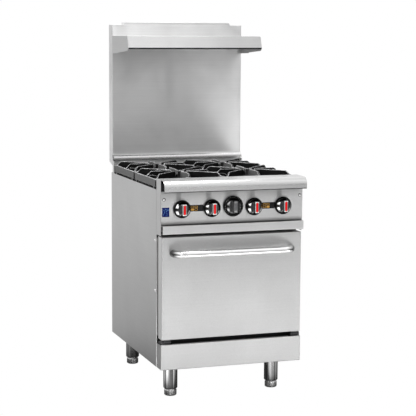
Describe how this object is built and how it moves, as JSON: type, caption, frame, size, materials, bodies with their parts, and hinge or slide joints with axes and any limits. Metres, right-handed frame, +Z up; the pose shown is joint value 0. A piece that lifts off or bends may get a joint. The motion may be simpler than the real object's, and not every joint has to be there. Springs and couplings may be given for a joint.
{
  "type": "commercial gas range",
  "caption": "Free-standing restaurant gas range with open burners over an oven, a drop-down oven door, a slide-out crumb tray, a backguard with a high shelf, and legs.",
  "frame": {"origin": "on the floor, at the centre of the width and the middle of the overall depth", "axes": "+Z up, the door and controls face -Y, the user's right hand is +X"},
  "size_m": [0.6136, 0.873, 1.542],
  "materials": {
    "stainless": "brushed",
    "stainless_legs": "brushed",
    "polished_steel": "polished",
    "galvanised": "satin",
    "aluminised": "satin",
    "porcelain": "gloss",
    "mineral_wool": "matte",
    "plated_wire": "polished",
    "cast_iron": "satin",
    "raw_casting": "matte",
    "black_pipe": "satin",
    "brass": "satin",
    "tube_aluminium": "satin",
    "zinc_plated": "satin",
    "spring_steel": "satin",
    "chrome_knob": "polished",
    "dial_black": "gloss",
    "red_button": "gloss",
    "label_film": "matte"
  },
  "bodies": {
    "range_body": {"base_frame": "galvanised", "legs": "stainless_legs", "side_panel_left": "stainless", "side_panel_right": "stainless", "back_panel": "galvanised", "kick_panel": "stainless", "oven_front_frame": "stainless", "front_cheeks": "stainless", "control_panel": "stainless", "landing_ledge": "stainless", "burner_box_frame": "stainless", "backguard": "stainless", "flue_riser": "aluminised", "flue_cap": "stainless", "stub_rail": "stainless", "high_shelf": "stainless", "shelf_gussets": "stainless", "oven_liner": "aluminised", "oven_floor": "porcelain", "oven_insulation": "mineral_wool", "rack_guides": "plated_wire", "oven_burner": "raw_casting", "oven_pilot": "zinc_plated", "safety_valve": "brass", "oven_thermostat": "brass", "gas_manifold": "black_pipe", "burner_valves": "brass", "burner_venturis": "raw_casting", "burner_heads": "raw_casting", "gas_tubing": "tube_aluminium", "hinge_brackets": "zinc_plated", "label_plates": "label_film", "panel_screws": "zinc_plated", "door_springs": "spring_steel"},
    "door": {"door_outer_shell": "stainless", "door_inner_panel": "aluminised", "door_insulation": "mineral_wool", "door_handle": "polished_steel", "door_hinge_arms": "zinc_plated"},
    "tray": {"crumb_tray": "stainless"},
    "rack": {"oven_rack": "plated_wire"},
    "reset": {"safety_reset_button": "red_button"},
    "dial": {"thermostat_dial": "dial_black", "thermostat_stem": "brass"},
    "knob_1": {"burner_knob_1": "chrome_knob", "valve_stem_1": "brass"},
    "knob_2": {"burner_knob_2": "chrome_knob", "valve_stem_2": "brass"},
    "knob_3": {"burner_knob_3": "chrome_knob", "valve_stem_3": "brass"},
    "knob_4": {"burner_knob_4": "chrome_knob", "valve_stem_4": "brass"},
    "grate_front_left_body": {"grate_front_left": "cast_iron"},
    "foot_front_left_body": {"foot_front_left": "stainless_legs"},
    "grate_front_right_body": {"grate_front_right": "cast_iron"},
    "foot_front_right_body": {"foot_front_right": "stainless_legs"},
    "grate_rear_left_body": {"grate_rear_left": "cast_iron"},
    "foot_rear_left_body": {"foot_rear_left": "stainless_legs"},
    "grate_rear_right_body": {"grate_rear_right": "cast_iron"},
    "foot_rear_right_body": {"foot_rear_right": "stainless_legs"}
  },
  "joints": [
    {"name": "oven_door_hinge", "type": "hinge", "parent": "range_body", "child": "door", "pos_m": [0, -0.367, 0.2535], "axis": [1, 0, 0], "range_deg": [0, 90], "deforming": ["door_springs"]},
    {"name": "crumb_tray_slide", "type": "slide", "parent": "range_body", "child": "tray", "axis": [0, -1, 0], "range_m": [0, 0.5]},
    {"name": "oven_rack_slide", "type": "slide", "parent": "range_body", "child": "rack", "axis": [0, -1, 0], "range_m": [0, 0.02]},
    {"name": "safety_reset_press", "type": "slide", "parent": "range_body", "child": "reset", "axis": [0, 1, 0], "range_m": [0, 0.005], "stiffness_N_per_m": 300, "springref_m": -0.004},
    {"name": "thermostat_turn", "type": "hinge", "parent": "range_body", "child": "dial", "pos_m": [0, -0.395, 0.802], "axis": [0, -1, 0], "range_deg": [0, 270]},
    {"name": "burner_knob_1_turn", "type": "hinge", "parent": "range_body", "child": "knob_1", "pos_m": [-0.218, -0.395, 0.797], "axis": [0, -1, 0], "range_deg": [0, 90]},
    {"name": "burner_knob_2_turn", "type": "hinge", "parent": "range_body", "child": "knob_2", "pos_m": [-0.091, -0.395, 0.797], "axis": [0, -1, 0], "range_deg": [0, 90]},
    {"name": "burner_knob_3_turn", "type": "hinge", "parent": "range_body", "child": "knob_3", "pos_m": [0.091, -0.395, 0.797], "axis": [0, -1, 0], "range_deg": [0, 90]},
    {"name": "burner_knob_4_turn", "type": "hinge", "parent": "range_body", "child": "knob_4", "pos_m": [0.218, -0.395, 0.797], "axis": [0, -1, 0], "range_deg": [0, 90]},
    {"name": "grate_front_left_lift", "type": "slide", "parent": "range_body", "child": "grate_front_left_body", "axis": [0, 0, 1], "range_m": [0, 0.06]},
    {"name": "grate_front_right_lift", "type": "slide", "parent": "range_body", "child": "grate_front_right_body", "axis": [0, 0, 1], "range_m": [0, 0.06]},
    {"name": "grate_rear_left_lift", "type": "slide", "parent": "range_body", "child": "grate_rear_left_body", "axis": [0, 0, 1], "range_m": [0, 0.06]},
    {"name": "grate_rear_right_lift", "type": "slide", "parent": "range_body", "child": "grate_rear_right_body", "axis": [0, 0, 1], "range_m": [0, 0.06]},
    {"name": "foot_front_left_screw", "type": "slide", "parent": "range_body", "child": "foot_front_left_body", "axis": [0, 0, -1], "range_m": [0, 0.025]},
    {"name": "foot_front_right_screw", "type": "slide", "parent": "range_body", "child": "foot_front_right_body", "axis": [0, 0, -1], "range_m": [0, 0.025]},
    {"name": "foot_rear_left_screw", "type": "slide", "parent": "range_body", "child": "foot_rear_left_body", "axis": [0, 0, -1], "range_m": [0, 0.025]},
    {"name": "foot_rear_right_screw", "type": "slide", "parent": "range_body", "child": "foot_rear_right_body", "axis": [0, 0, -1], "range_m": [0, 0.025]}
  ]
}
